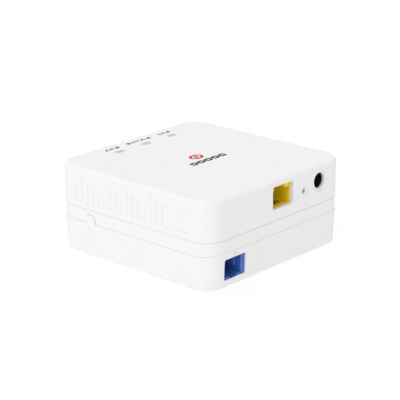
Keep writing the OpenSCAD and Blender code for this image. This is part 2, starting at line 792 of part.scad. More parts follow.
module plug_ferrule() color("white")
    translate([sc_x, sc_mid_y + 0.02, sc_z]) rotate([-90, 0, 0]) {
        translate([0, 0, 0.5]) cylinder(d = ferrule_d, h = 8.5);
        cylinder(d1 = ferrule_d - 0.8, d2 = ferrule_d, h = 0.5 + fine);
    }

module plug_boot() color([0.1, 0.3, 0.75])
    translate([sc_x, plug_end_y, sc_z]) rotate([-90, 0, 0])
        cylinder(d1 = 5.2, d2 = 2.2, h = boot_end_y - plug_end_y);

module adapter_body() color([0.1, 0.3, 0.75]) difference() {
    translate([sc_x - sc_size.x / 2, sc_front_y, sc_z - sc_size.z / 2]) cube(sc_size);
    for (end = [0, 1])
        translate([0, sc_mid_y, 0]) mirror([0, end, 0]) translate([0, -sc_mid_y, 0]) {
            box_on([sc_mouth.x, 2 * sc_mouth_depth, sc_mouth.y], [sc_x, sc_front_y],
                   sc_z - sc_mouth.y / 2);
            // keyway
            box_on([4, 2 * sc_mouth_depth, 0.6 + fine], [sc_x, sc_front_y],
                   sc_z + sc_mouth.y / 2 - fine);
        }
    translate([sc_x, sc_front_y, sc_z]) rotate([-90, 0, 0]) cylinder(d = 5.1, h = sc_size.y);
}

// Each half is a tube for the sleeve, a plate and two arms that latch a plug.
module adapter_hooks() color([0.85, 0.85, 0.82]) {
    plate_t = 1;
    arm_l = 7.5;
    plate_y = sc_front_y + sc_mouth_depth;
    for (end = [0, 1])
        translate([0, sc_mid_y, 0]) mirror([0, end, 0]) translate([0, -sc_mid_y, 0]) {
            difference() {
                union() {
                    box_on([9.2, plate_t, 7.4], [sc_x, plate_y - plate_t / 2], sc_z - 3.7);
                    translate([sc_x, plate_y - 4.2, sc_z]) rotate([-90, 0, 0])
                        cylinder(d = 5, h = sc_mid_y - plate_y + 4.2 - 0.05);
                }
                translate([sc_x, plate_y - 5, sc_z]) rotate([-90, 0, 0]) cylinder(d = 3.5, h = 12);
            }
            for (side = [-1, 1]) {
                box_on([0.7, arm_l, 3], [sc_x + side * 4.25, plate_y - plate_t - arm_l / 2 + fine],
                       sc_z - 1.5);
                box_on([0.5, 1, 3], [sc_x + side * 3.75, plate_y - plate_t - arm_l + 0.6],
                       sc_z - 1.5);
            }
        }
}

module adapter_sleeve() color("white")
    translate([sc_x, sc_mid_y - sleeve_l / 2, sc_z]) rotate([-90, 0, 0]) difference() {
        cylinder(d = 3.4, h = sleeve_l);
        translate([0, 0, -1]) cylinder(d = ferrule_d + 0.02, h = sleeve_l + 2);
        translate([-0.2, 0, -1]) cube([0.4, 3, sleeve_l + 2]);
    }

top_cover();
middle_frame();
base_cover();
rubber_feet();
light_guide();
case_screws();
board_screws();
main_board();
lan_jack_housing();
lan_jack_carrier();
lan_jack_contacts();
power_jack_housing();
power_jack_pin();
power_jack_spring();
reset_switch_body();
reset_plunger();
status_leds();
system_chip();
flash_chip();
laser_driver_chip();
reference_crystal();
lan_transformer();
power_inductors();
bulk_capacitors();
regulator_chips();
input_diode();
ceramic_capacitors();
resistors();
transceiver_block();
laser_can();
receiver_can();
transceiver_strain_relief();
fibre_pigtail();
plug_body();
plug_grip();
plug_ferrule();
plug_boot();
adapter_body();
adapter_hooks();
adapter_sleeve();
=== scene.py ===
"""Looks of an optical network terminal: materials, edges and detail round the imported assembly.

Meshes are built in millimetres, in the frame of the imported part, and scaled to metres when they
become pieces.
"""
import json
import math

import bmesh
import bpy
from mathutils import Matrix, Vector


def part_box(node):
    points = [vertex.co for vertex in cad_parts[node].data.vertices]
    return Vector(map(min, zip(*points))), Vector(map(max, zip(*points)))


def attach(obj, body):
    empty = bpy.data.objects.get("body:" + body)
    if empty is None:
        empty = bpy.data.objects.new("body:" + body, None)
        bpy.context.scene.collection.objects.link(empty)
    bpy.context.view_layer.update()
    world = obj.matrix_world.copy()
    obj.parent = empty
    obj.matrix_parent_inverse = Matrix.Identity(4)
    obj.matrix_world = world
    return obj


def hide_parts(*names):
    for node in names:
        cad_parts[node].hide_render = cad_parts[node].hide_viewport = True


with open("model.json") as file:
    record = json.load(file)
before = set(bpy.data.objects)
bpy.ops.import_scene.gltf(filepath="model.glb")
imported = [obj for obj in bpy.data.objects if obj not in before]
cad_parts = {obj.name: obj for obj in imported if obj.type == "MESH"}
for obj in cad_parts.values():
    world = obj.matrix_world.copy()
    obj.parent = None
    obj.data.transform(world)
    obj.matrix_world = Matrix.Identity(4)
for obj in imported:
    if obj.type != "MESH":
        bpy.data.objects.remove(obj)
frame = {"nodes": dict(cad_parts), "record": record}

bpy.context.view_layer.update()
MM = 0.001
NODES = frame["nodes"]


# ---- camera, light and floor ----

AZIMUTH, ELEVATION, ROLL = (math.radians(a) for a in (-47.577, 18.768, -0.439))
DISTANCE = 0.636878
AIM = Vector((0, 0, 0.0186))
AIM_SHIFT = (-0.000374, 0.000193)
LENS = 141.46
AMBIENT = 0.8
FLOOR_REACH = 6
FLOOR_ALBEDO = 0.25
FLOOR_GLOW = 0.75


def add_camera():
    """Camera at the viewing angle of the photograph."""
    data = bpy.data.cameras.new("camera")
    data.lens, data.sensor_width = LENS, 36
    data.clip_start, data.clip_end = 0.01, 100
    camera = bpy.data.objects.new("camera", data)
    bpy.context.scene.collection.objects.link(camera)
    back = Vector((math.sin(AZIMUTH) * math.cos(ELEVATION),
                   -math.cos(AZIMUTH) * math.cos(ELEVATION), math.sin(ELEVATION)))
    right = Vector((math.cos(AZIMUTH), math.sin(AZIMUTH), 0))
    up = back.cross(right)
    eye = AIM + back * DISTANCE + right * AIM_SHIFT[0] + up * AIM_SHIFT[1]
    turned = Matrix.Rotation(ROLL, 3, back)
    rotation = Matrix((turned @ right, turned @ up, back)).transposed()
    camera.matrix_world = Matrix.Translation(eye) @ rotation.to_4x4()
    bpy.context.scene.camera = camera


def add_sun(name, towards, strength, softness):
    """Soft light of even strength that comes from the direction towards."""
    data = bpy.data.lights.new(name, "SUN")
    data.energy, data.angle = strength, math.radians(softness)
    light = bpy.data.objects.new(name, data)
    light.rotation_mode = "QUATERNION"
    light.rotation_quaternion = Vector(towards).to_track_quat("Z", "Y")
    bpy.context.scene.collection.objects.link(light)


def add_studio():
    """White surroundings, two soft suns and a pale floor."""
    world = bpy.data.worlds.new("studio")
    world.use_nodes = True
    nodes, links = world.node_tree.nodes, world.node_tree.links
    seen = nodes.new("ShaderNodeLightPath").outputs["Is Camera Ray"]
    strength = nodes.new("ShaderNodeMapRange")
    strength.inputs["To Min"].default_value = AMBIENT
    strength.inputs["To Max"].default_value = 1.0
    links.new(seen, strength.inputs["Value"])
    links.new(strength.outputs["Result"], nodes["Background"].inputs["Strength"])
    nodes["Background"].inputs["Color"].default_value = (1, 1, 1, 1)
    bpy.context.scene.world = world
    add_sun("left key", (-0.85, -0.2, 0.5), 0.68, 24)
    add_sun("overhead", (0.1, 0.15, 1.0), 0.49, 60)
    bpy.context.scene.view_settings.view_transform = "Standard"
    corners = [(x * FLOOR_REACH, y * FLOOR_REACH, 0) for x, y in ((-1, -1), (1, -1), (1, 1), (-1, 1))]
    mesh = bpy.data.meshes.new("floor")
    mesh.from_pydata(corners, [], [(0, 1, 2, 3)])
    floor = bpy.data.objects.new("floor", mesh)
    bpy.context.scene.collection.objects.link(floor)
    material = bpy.data.materials.new("floor")
    material.use_nodes = True
    shader = material.node_tree.nodes["Principled BSDF"]
    shader.inputs["Base Color"].default_value = (FLOOR_ALBEDO, FLOOR_ALBEDO, FLOOR_ALBEDO, 1)
    shader.inputs["Roughness"].default_value = 0.9
    shader.inputs["Specular IOR Level"].default_value = 0.1
    shader.inputs["Emission Color"].default_value = (1, 1, 1, 1)
    shader.inputs["Emission Strength"].default_value = FLOOR_GLOW
    mesh.materials.append(material)


# ---- materials ----


class Finish:
    """A procedural material: a shader with helpers that add and join nodes."""

    def __init__(self, name, **inputs):
        self.material = bpy.data.materials.new(name)
        self.material.use_nodes = True
        self.tree = self.material.node_tree
        self.shader = self.tree.nodes["Principled BSDF"]
        for key, value in inputs.items():
            socket = self.shader.inputs[key.replace("_", " ")]
            socket.default_value = (*value, 1) if isinstance(value, tuple) else value
        self.place = self.node("ShaderNodeTexCoord").outputs["Object"]

    def node(self, kind, **settings):
        made = self.tree.nodes.new(kind)
        for key, value in settings.items():
            setattr(made, key, value)
        return made

    def join(self, start, end):
        self.tree.links.new(start, end)

    def noise(self, size_mm, detail=2.0, stretch=(1, 1, 1)):
        """Noise whose features are about size_mm across."""
        mapping = self.node("ShaderNodeMapping")
        mapping.inputs["Scale"].default_value = stretch
        self.join(self.place, mapping.inputs["Vector"])
        noise = self.node("ShaderNodeTexNoise")
        noise.inputs["Scale"].default_value = 1 / (size_mm * MM)
        noise.inputs["Detail"].default_value = detail
        self.join(mapping.outputs["Vector"], noise.inputs["Vector"])
        return noise.outputs["Fac"]

    def ramp(self, factor, stops):
        """Colours at positions along a factor."""
        ramp = self.node("ShaderNodeValToRGB")
        while len(ramp.color_ramp.elements) < len(stops):
            ramp.color_ramp.elements.new(0.5)
        for element, (position, colour) in zip(ramp.color_ramp.elements, stops):
            element.position = position
            element.color = (*colour, 1)
        self.join(factor, ramp.inputs["Fac"])
        return ramp.outputs["Color"]

    def colour(self, base, spread, size_mm, stretch=(1, 1, 1)):
        """Base colour that drifts by the share spread over patches of size_mm."""
        low, high = (tuple(min(1, c * (1 + side * spread)) for c in base) for side in (-1, 1))
        tint = self.ramp(self.noise(size_mm, 3, stretch), [(0.3, low), (0.7, high)])
        self.join(tint, self.shader.inputs["Base Color"])
        return tint

    def roughness(self, low, high, size_mm, stretch=(1, 1, 1)):
        reach = self.node("ShaderNodeMapRange")
        reach.inputs["From Min"].default_value = 0.3
        reach.inputs["From Max"].default_value = 0.7
        reach.inputs["To Min"].default_value = low
        reach.inputs["To Max"].default_value = high
        self.join(self.noise(size_mm, 3, stretch), reach.inputs["Value"])
        self.join(reach.outputs["Result"], self.shader.inputs["Roughness"])

    def bump(self, height, depth_mm, strength=1.0):
        """Bump from a height factor; a second call stacks on the first."""
        bump = self.node("ShaderNodeBump")
        bump.inputs["Strength"].default_value = strength
        bump.inputs["Distance"].default_value = depth_mm * MM
        self.join(height, bump.inputs["Height"])
        if self.shader.inputs["Normal"].is_linked:
            self.join(self.shader.inputs["Normal"].links[0].from_socket, bump.inputs["Normal"])
        self.join(bump.outputs["Normal"], self.shader.inputs["Normal"])


def plastic(name, base, low, high, grain_mm, grain_depth, spread=0.02, **inputs):
    """Moulded plastic: spark-eroded grain, faint flow marks and a satin that drifts."""
    finish = Finish(name, **inputs)
    finish.colour(base, spread, 9)
    finish.roughness(low, high, 2.5)
    finish.bump(finish.noise(6, 1), 0.02, 0.4)
    finish.bump(finish.noise(grain_mm, 2), grain_depth, 0.5)
    return finish


def metal(name, base, low, high, brushed=(1, 1, 1)):
    """Plated metal with fine drawing marks and small stains."""
    finish = Finish(name, Metallic=1.0)
    finish.colour(base, 0.06, 1.4)
    finish.roughness(low, high, 0.5, brushed)
    finish.bump(finish.noise(0.12, 2, brushed), 0.006, 0.5)
    return finish


def rubber(name, base):
    """Matt rubber with a fine, uneven grain."""
    finish = Finish(name)
    finish.colour(base, 0.12, 1.2)
    finish.roughness(0.72, 0.92, 0.8)
    finish.bump(finish.noise(0.25, 4), 0.03, 0.6)
    return finish


def board_finish():
    """Solder mask over copper: tracks stand a little proud and lighter, on a woven laminate."""
    finish = Finish("board_green", Coat_Weight=0.35, Coat_Roughness=0.12)
    cells = finish.node("ShaderNodeTexVoronoi", distance="CHEBYCHEV", feature="F1")
    cells.inputs["Scale"].default_value = 1 / (2.2 * MM)
    cells.inputs["Randomness"].default_value = 0.55
    finish.join(finish.place, cells.inputs["Vector"])
    mask, track = (0.010, 0.115, 0.045), (0.014, 0.155, 0.062)
    tint = finish.ramp(cells.outputs["Distance"], [(0.36, mask), (0.42, track), (0.50, mask)])
    finish.join(tint, finish.shader.inputs["Base Color"])
    finish.roughness(0.22, 0.38, 1.5)
    finish.bump(finish.noise(0.5, 1, (1, 6, 1)), 0.01, 0.4)
    finish.bump(cells.outputs["Distance"], 0.02, 0.25)
    return finish


def ceramic_finish():
    """Fired ceramic of chip capacitors."""
    finish = Finish("tan_ceramic")
    finish.colour((0.46, 0.33, 0.19), 0.1, 0.3)
    finish.roughness(0.4, 0.6, 0.2)
    finish.bump(finish.noise(0.08, 3), 0.01, 0.5)
    return finish


def guide_finish():
    """Frosted acrylic that lets a little of the light below through."""
    finish = Finish("clear_guide", Transmission_Weight=0.25, IOR=1.49, Coat_Weight=0.2)
    finish.colour((0.66, 0.66, 0.655), 0.03, 1.5)
    finish.roughness(0.28, 0.42, 0.6)
    finish.bump(finish.noise(0.15, 2), 0.01, 0.5)
    return finish


def make_finishes():
    """All the materials by name; the first ones are named after the CAD's slots."""
    made = {
        "white_abs": plastic("white_abs", (0.84, 0.84, 0.835), 0.60, 0.72, 0.16, 0.012, 0.006,
                             Specular_IOR_Level=0.25),
        "foot_rubber": rubber("foot_rubber", (0.045, 0.045, 0.048)),
        "clear_guide": guide_finish(),
        "screw_steel": metal("screw_steel", (0.60, 0.60, 0.61), 0.28, 0.46),
        "board_green": board_finish(),
        "yellow_plastic": plastic("yellow_plastic", (0.95, 0.72, 0.02), 0.26, 0.38, 0.2, 0.01, 0.03),
        "black_plastic": plastic("black_plastic", (0.014, 0.014, 0.015), 0.34, 0.50, 0.18, 0.012, 0.15),
        "gold_contact": metal("gold_contact", (0.83, 0.58, 0.20), 0.16, 0.30, (1, 8, 1)),
        "nickel": metal("nickel", (0.62, 0.60, 0.57), 0.20, 0.36, (1, 6, 1)),
        "ivory_plastic": plastic("ivory_plastic", (0.74, 0.72, 0.66), 0.34, 0.46, 0.2, 0.01),
        "led_white": plastic("led_white", (0.82, 0.81, 0.76), 0.30, 0.40, 0.1, 0.005),
        "chip_black": plastic("chip_black", (0.022, 0.022, 0.024), 0.50, 0.66, 0.09, 0.014, 0.18),
        "ferrite_grey": plastic("ferrite_grey", (0.055, 0.055, 0.058), 0.46, 0.62, 0.12, 0.02, 0.15),
        "capacitor_sleeve": plastic("capacitor_sleeve", (0.012, 0.020, 0.075), 0.22, 0.34, 0.5, 0.012, 0.1),
        "tan_ceramic": ceramic_finish(),
        "gold_can": metal("gold_can", (0.80, 0.60, 0.28), 0.18, 0.32, (1, 6, 1)),
        "black_rubber": rubber("black_rubber", (0.020, 0.020, 0.021)),
        "fibre_jacket": plastic("fibre_jacket", (0.80, 0.80, 0.73), 0.26, 0.38, 0.3, 0.008),
        "blue_plastic": plastic("blue_plastic", (0.065, 0.17, 0.52), 0.26, 0.38, 0.2, 0.01, 0.05),
        "blue_rubber": rubber("blue_rubber", (0.030, 0.100, 0.330)),
        "zirconia": plastic("zirconia", (0.86, 0.85, 0.81), 0.10, 0.18, 0.4, 0.003),
    }
    inks = {"grey_ink": (0.08, 0.07, 0.07), "red_ink": (0.56, 0.02, 0.035),
            "green_ink": (0.01, 0.065, 0.04)}
    for name, base in inks.items():
        made[name] = plastic(name, base, 0.6, 0.75, 0.1, 0.006, 0.06, Specular_IOR_Level=0.12)
    for name, base in (("phosphor", (0.86, 0.70, 0.16)), ("board_print", (0.78, 0.79, 0.76))):
        made[name] = plastic(name, base, 0.45, 0.6, 0.1, 0.008, 0.05)
    made["track_green"] = plastic("track_green", (0.025, 0.24, 0.10), 0.2, 0.34, 0.3, 0.006, 0.05)
    made["copper_wire"] = metal("copper_wire", (0.72, 0.30, 0.14), 0.18, 0.32)
    made["aluminium"] = metal("aluminium", (0.72, 0.72, 0.73), 0.24, 0.40)
    return {name: finish.material for name, finish in made.items()}


# ---- shapes, in millimetres ----


def add_block(bm, size, centre, r=0.0, steps=2, taper=0.0):
    """Block with rounded edges; its top face may be smaller by taper on each side."""
    made = bmesh.ops.create_cube(bm, size=1)["verts"]
    for vert in made:
        shrink = 2 * taper if vert.co.z > 0 else 0
        scaled = (vert.co.x * (size[0] - shrink), vert.co.y * (size[1] - shrink), vert.co.z * size[2])
        vert.co = Vector(scaled) + Vector(centre)
    if r > 0:
        edges = {e for v in made for e in v.link_edges}
        bmesh.ops.bevel(bm, geom=list(edges), offset=r, segments=steps, profile=0.5, affect="EDGES")


def add_prism(bm, outline, height, place=None, r=0.0):
    """Closed outline of (x, y) points, extruded up by height and placed by a matrix."""
    place = place or Matrix.Identity(4)
    low = [bm.verts.new(place @ Vector((x, y, 0))) for x, y in outline]
    high = [bm.verts.new(place @ Vector((x, y, height))) for x, y in outline]
    faces = [bm.faces.new(low[::-1]), bm.faces.new(high)]
    count = len(outline)
    for i in range(count):
        faces.append(bm.faces.new((low[i], low[(i + 1) % count], high[(i + 1) % count], high[i])))
    if r > 0:
        edges = [e for face in faces[:2] for e in face.edges]
        bmesh.ops.bevel(bm, geom=edges, offset=r, segments=2, profile=0.5, affect="EDGES")
    return faces


def add_lathe(bm, profile, place=None, steps=48, closed=False):
    """Profile of (radius, height) points turned round the Z axis of a matrix.

    An open profile gets a flat cap at each end; a closed one makes a ring.
    """
    place = place or Matrix.Identity(4)
    rings = []
    for radius, height in profile:
        if radius < 1e-6:
            rings.append([bm.verts.new(place @ Vector((0, 0, height)))])
            continue
        rings.append([bm.verts.new(place @ Vector((radius * math.cos(2 * math.pi * k / steps),
                                                   radius * math.sin(2 * math.pi * k / steps), height)))
                      for k in range(steps)])
    if closed:
        rings.append(rings[0])
    for low, high in zip(rings, rings[1:]):
        for k in range(steps):
            corners = [low[k % len(low)], low[(k + 1) % len(low)],
                       high[(k + 1) % len(high)], high[k % len(high)]]
            corners = [c for i, c in enumerate(corners) if c not in corners[:i]]
            if len(corners) > 2:
                bm.faces.new(corners)
    for ring in (rings[0], rings[-1]):
        if not closed and len(ring) > 2:
            bm.faces.new(ring)


def add_stack(bm, layers, place=None):
    """Solid of rectangles, each (width, depth, height), joined one above the other."""
    place = place or Matrix.Identity(4)
    corners = ((-0.5, -0.5), (0.5, -0.5), (0.5, 0.5), (-0.5, 0.5))
    rings = [[bm.verts.new(place @ Vector((x * w, y * d, z))) for x, y in corners] for w, d, z in layers]
    for low, high in zip(rings, rings[1:]):
        for k in range(4):
            bm.faces.new((low[k], low[(k + 1) % 4], high[(k + 1) % 4], high[k]))
    bm.faces.new(rings[0][::-1])
    bm.faces.new(rings[-1])


def add_sweep(bm, path, radius, sides=16, closed_ends=True):
    """Round tube along a list of points; the radius may be a list."""
    radii = radius if isinstance(radius, list) else [radius] * len(path)
    rings = []
    side = None
    for i, point in enumerate(path):
        heading = (path[min(i + 1, len(path) - 1)] - path[max(i - 1, 0)]).normalized()
        if side is None:
            side = heading.orthogonal().normalized()
        side = (side - heading * side.dot(heading)).normalized()
        up = heading.cross(side)
        rings.append([bm.verts.new(point + radii[i] * (side * math.cos(2 * math.pi * k / sides)
                                                        + up * math.sin(2 * math.pi * k / sides)))
                      for k in range(sides)])
    for low, high in zip(rings, rings[1:]):
        for k in range(sides):
            bm.faces.new((low[k], low[(k + 1) % sides], high[(k + 1) % sides], high[k]))
    if closed_ends:
        bm.faces.new(rings[0][::-1])
        bm.faces.new(rings[-1])


def along(axis, origin):
    """Matrix whose Z axis points along a direction, at an origin."""
    turn = Vector(axis).to_track_quat("Z", "Y").to_matrix().to_4x4()
    return Matrix.Translation(Vector(origin)) @ turn


def facing(right, up, origin):
    """Matrix whose X axis points right and whose Y axis points up, at an origin."""
    right, up = Vector(right), Vector(up)
    turn = Matrix((right, up, right.cross(up))).transposed().to_4x4()
    return Matrix.Translation(Vector(origin)) @ turn


def merge(target, source):
    """Adds one bmesh to another and frees it."""
    mesh = bpy.data.meshes.new("merged")
    source.to_mesh(mesh)
    source.free()
    target.from_mesh(mesh)
    bpy.data.meshes.remove(mesh)


def as_object(bm, name):
    """Object made of a bmesh, which is freed; its faces are turned outwards."""
    mesh = bpy.data.meshes.new(name)
    bmesh.ops.recalc_face_normals(bm, faces=bm.faces)
    bm.to_mesh(mesh)
    bm.free()
    made = bpy.data.objects.new(name, mesh)
    bpy.context.scene.collection.objects.link(made)
    return made


def carved(body, *cutters, operation="DIFFERENCE"):
    """The first mesh with the others cut out of it, or joined to it, as a new bmesh."""
    solid = as_object(body, "solid")
    tools = [as_object(cutter, "cutter") for cutter in cutters]
    for tool in tools:
        cut = solid.modifiers.new("cut", "BOOLEAN")
        cut.object, cut.operation, cut.solver = tool, operation, "EXACT"
        cut.use_self = operation == "UNION"
    shown = solid.evaluated_get(bpy.context.evaluated_depsgraph_get())
    result = bmesh.new()
    result.from_mesh(shown.to_mesh())
    for used in (solid, *tools):
        bpy.data.objects.remove(used)
    return result


def add_piece(bm, name, slot, body="unit", nodes=(), extra=(), bevel=0.0, angle=35):
    """Makes a piece of a mesh in millimetres, in a slot's finish, riding on a CAD body."""
    piece = as_object(bm, name)
    mesh = piece.data
    mesh.transform(Matrix.Scale(MM, 4))
    for finish in (slot, *extra):
        mesh.materials.append(FINISHES[finish])
    mesh.shade_smooth()
    mesh.set_sharp_from_angle(angle=math.radians(angle))
    if bevel > 0:
        soften(piece, bevel)
    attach(piece, body)
    if nodes:
        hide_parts(*nodes)
    return piece


def soften(piece, width_mm, angle=32, steps=2):
    """Bevel on the sharp edges, with smooth shading across it."""
    edges = piece.modifiers.new("edges", "BEVEL")
    edges.width, edges.segments = width_mm * MM, steps
    edges.limit_method, edges.angle_limit = "ANGLE", math.radians(angle)
    edges.use_clamp_overlap = False
    edges.loop_slide = False
    edges.harden_normals = True
    normals = piece.modifiers.new("normals", "WEIGHTED_NORMAL")
    normals.keep_sharp = True
    normals.weight = 50


def refine(node, width_mm, steps=2, angle=32):
    """Finish and softened edges for a CAD node that stays."""
    piece = NODES[node]
    slot = piece.data.materials[0].name
    piece.data.materials[0] = FINISHES[slot]
    weld = piece.modifiers.new("weld", "WELD")
    weld.merge_threshold = 1e-6
    flat = piece.modifiers.new("flat", "DECIMATE")
    flat.decimate_type, flat.angle_limit = "DISSOLVE", math.radians(0.4)
    soften(piece, width_mm, angle, steps)


# ---- places read from the frame, in millimetres ----


def node_box(node):
    """Lowest and highest corners of a CAD node."""
    low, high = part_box(node)
    return Vector(low) / MM, Vector(high) / MM


def solids(node):
    """Lowest and highest corners of each separate solid of a node, ordered by place."""
    bm = bmesh.new()
    bm.from_mesh(NODES[node].data)
    bmesh.ops.remove_doubles(bm, verts=bm.verts, dist=1e-6)
    left, boxes = set(bm.verts), []
    while left:
        waiting = [left.pop()]
        reached = []
        while waiting:
            vert = waiting.pop()
            reached.append(vert.co / MM)
            for edge in vert.link_edges:
                other = edge.other_vert(vert)
                if other in left:
                    left.discard(other)
                    waiting.append(other)
        boxes.append((Vector(map(min, zip(*reached))), Vector(map(max, zip(*reached)))))
    bm.free()
    return sorted(boxes, key=lambda box: [round(c, 2) for c in box[0]])


# ---- printed and raised marks ----


class Plate:
    """Thin raised shapes on a flat face: x runs right and y runs up, from a centre."""

    def __init__(self, centre, right, up, thickness):
        self.bm = bmesh.new()
        self.place = facing(right, up, centre)
        self.thickness = thickness

    def solid(self):
        """All the shapes so far, joined where they overlap."""
        first = bmesh.new()
        add_prism(first, [(-1, 1e3), (1, 1e3), (0, 1e3 + 1)], self.thickness, self.place)
        far = self.place @ Vector((0, 1e3, 0))
        joined = carved(first, self.bm, operation="UNION")
        stray = [v for v in joined.verts if (v.co - far).length < 10]
        bmesh.ops.delete(joined, geom=stray, context="VERTS")
        return joined

    def shape(self, outline):
        add_prism(self.bm, outline, self.thickness, self.place)

    def bar(self, start, end, width):
        start, end = Vector(start), Vector(end)
        side = (end - start).normalized().orthogonal() * width / 2
        self.shape([start - side, end - side, end + side, start + side])

    def box(self, centre, w, h):
        self.bar((centre[0] - w / 2, centre[1]), (centre[0] + w / 2, centre[1]), h)

    def arc(self, centre, r, width, start, turn, squeeze=1.0):
        """Band along part of a circle, from an angle and for a turn in degrees."""
        steps = max(6, int(abs(turn) / 9))
        angles = [math.radians(start + turn * i / steps) for i in range(steps + 1)]
        rim = [(r + width / 2, a) for a in angles] + [(r - width / 2, a) for a in reversed(angles)]
        self.shape([(centre[0] + d * squeeze * math.cos(a), centre[1] + d * math.sin(a)) for d, a in rim])

    def ring(self, centre, r, width):
        middle = self.place @ Matrix.Translation((centre[0], centre[1], 0))
        inner, outer, top = r - width / 2, r + width / 2, self.thickness
        add_lathe(self.bm, [(inner, 0), (outer, 0), (outer, top), (inner, top)], middle, 40, closed=True)

    def disc(self, centre, r):
        middle = self.place @ Matrix.Translation((centre[0], centre[1], 0))
        add_lathe(self.bm, [(r, 0), (r, self.thickness)], middle, 28)

    def head(self, tip, heading, size):
        """Arrow head with its tip at a point."""
        heading = Vector(heading).normalized() * size
        side = heading.orthogonal() * 0.6
        tip = Vector(tip)
        self.shape([tip, tip - heading + side, tip - heading - side])


def power_sign(plate, x, h, line):
    plate.arc((x, -0.05 * h), 0.4 * h, line, 125, 290)
    plate.bar((x, 0), (x, 0.5 * h), line)


def tree_sign(plate, x, h, line):
    plate.box((x, 0.34 * h), 0.32 * h, 0.32 * h)
    for side in (-1, 1):
        plate.box((x + side * 0.42 * h, -0.34 * h), 0.32 * h, 0.32 * h)
    plate.bar((x, 0.18 * h), (x, 0.0), line)
    plate.box((x, 0.0), 0.84 * h + line, line)
    for side in (-1, 1):
        plate.bar((x + side * 0.42 * h, 0.0), (x + side * 0.42 * h, -0.2 * h), line)


def level_sign(plate, x, h, line):
    for i, share in enumerate((0.35, 0.6, 0.85, 1.0)):
        plate.box((x + (i - 1.5) * 0.3 * h, (share - 1) * h / 2), line * 1.2, share * h)


def globe_sign(plate, x, h, line):
    plate.ring((x, 0), h / 2 - line / 2, line)
    for side in (-1, 1):
        plate.arc((x, 0), h / 2 - line, line, 90, side * 180, 0.45)
    plate.box((x, 0), h - 2 * line, line)


def arrows_sign(plate, x, h, line):
    for side in (-1, 1):
        middle = x + side * 0.25 * h
        plate.bar((middle, -side * 0.45 * h), (middle, side * 0.1 * h), line)
        plate.head((middle, side * 0.5 * h), (0, side), 0.45 * h)


def wave_sign(plate, x, h, line):
    plate.disc((x, -0.38 * h), 0.12 * h)
    for r in (0.45, 0.8):
        plate.arc((x, -0.38 * h), r * h, line, 50, 80)


def loop_sign(plate, x, h, line):
    plate.arc((x, 0), 0.4 * h, line, 60, 290)
    plate.head((x + 0.34 * h, 0.3 * h), (0.9, 0.5), 0.36 * h)


def polarity_sign(plate, x, h, line):
    plate.disc((x, 0), 0.14 * h)
    plate.arc((x, 0), 0.34 * h, line, 45, 270)
    for side in (-1, 1):
        plate.ring((x + side * 1.05 * h, 0), 0.3 * h, line)
        plate.box((x + side * 1.05 * h, 0), 0.3 * h, line)
        plate.box((x + side * 0.55 * h, 0), 0.36 * h, line)
    plate.bar((x + 1.05 * h, -0.15 * h), (x + 1.05 * h, 0.15 * h), line)


def fibre_sign(plate, x, h, line):
    plate.ring((x, 0), 0.42 * h, line)
    plate.disc((x, 0), 0.16 * h)
    for side in (-1, 1):
        plate.bar((x + side * 0.5 * h, 0), (x + side * 1.0 * h, 0), line)


INK = 0.02
EMBOSS = 0.14


def add_marks():
    """Generic pictograms: grey beside the windows, and raised ones beside the sockets."""
    case_low, case_high = node_box("top_cover")
    windows = sorted((low.x + high.x) / 2 for low, high in tip_boxes())
    label_y = case_high.y - 5.2
    rows = (
        (windows[0] + 0.1, ((tree_sign, -2.6), (arrows_sign, 0.0), (level_sign, 2.6))),
        (windows[1] + 0.1, ((globe_sign, -5.6), (arrows_sign, -3.0), (wave_sign, -0.4),
                            (tree_sign, 2.6), (level_sign, 5.6))),
        (windows[2] - 0.1, ((power_sign, -2.4), (arrows_sign, 0.0), (level_sign, 2.4))),
    )
    plate = Plate((0, label_y, case_high.z), (1, 0, 0), (0, 1, 0), INK)
    for middle, signs in rows:
        for sign, offset in signs:
            sign(plate, middle + offset, 2.1, 0.4)
    add_piece(plate.solid(), "window_marks", "grey_ink")

    badge = Plate((0, 2.4, case_high.z), (1, 0, 0), (0, 1, 0), INK)
    turns = [math.radians(60 * i) for i in range(6)]
    corners = [(3.0 * math.cos(turn), 2.3 * math.sin(turn)) for turn in turns]
    for start, end in zip(corners, corners[1:] + corners[:1]):
        badge.bar(start, end, 1.1)
    for corner in corners:
        badge.disc(corner, 0.55)
    badge.disc((0, 0), 1.0)
    add_piece(badge.solid(), "badge_ring", "red_ink")

    chain = Plate((0.6, -3.6, case_high.z), (1, 0, 0), (0, 1, 0), INK)
    pitch = 4.2
    for i in range(-2, 3):
        x = i * pitch
        for side in (-1, 1):
            chain.box((x, side * 1.0), 2.2, 0.95)
            chain.box((x + side * 1.1, 0), 0.95, 2.95)
        if i < 2:
            chain.box((x + pitch / 2, 0), pitch - 2.6, 0.95)
    add_piece(chain.solid(), "badge_chain", "green_ink")

    lan, power = node_box("lan_jack_housing"), node_box("power_jack_housing")
    reset, adapter = node_box("reset_plunger"), node_box("adapter_body")
    raised = (
        ("network_mark", "unit", tree_sign, lan, case_low.z + 1.9),
        ("reset_mark", "unit", loop_sign, reset, case_low.z + 1.9),
        ("power_mark", "unit", polarity_sign, power, case_low.z + 1.9),
        ("fibre_mark", "base", fibre_sign, adapter, adapter[1].z + 1.0),
    )
    for name, body, sign, (low, high), z in raised:
        plate = Plate(((low.x + high.x) / 2, case_low.y, z), (1, 0, 0), (0, 0, 1), EMBOSS)
        sign(plate, 0, 1.5, 0.22)
        add_piece(plate.solid(), name, "white_abs", body)


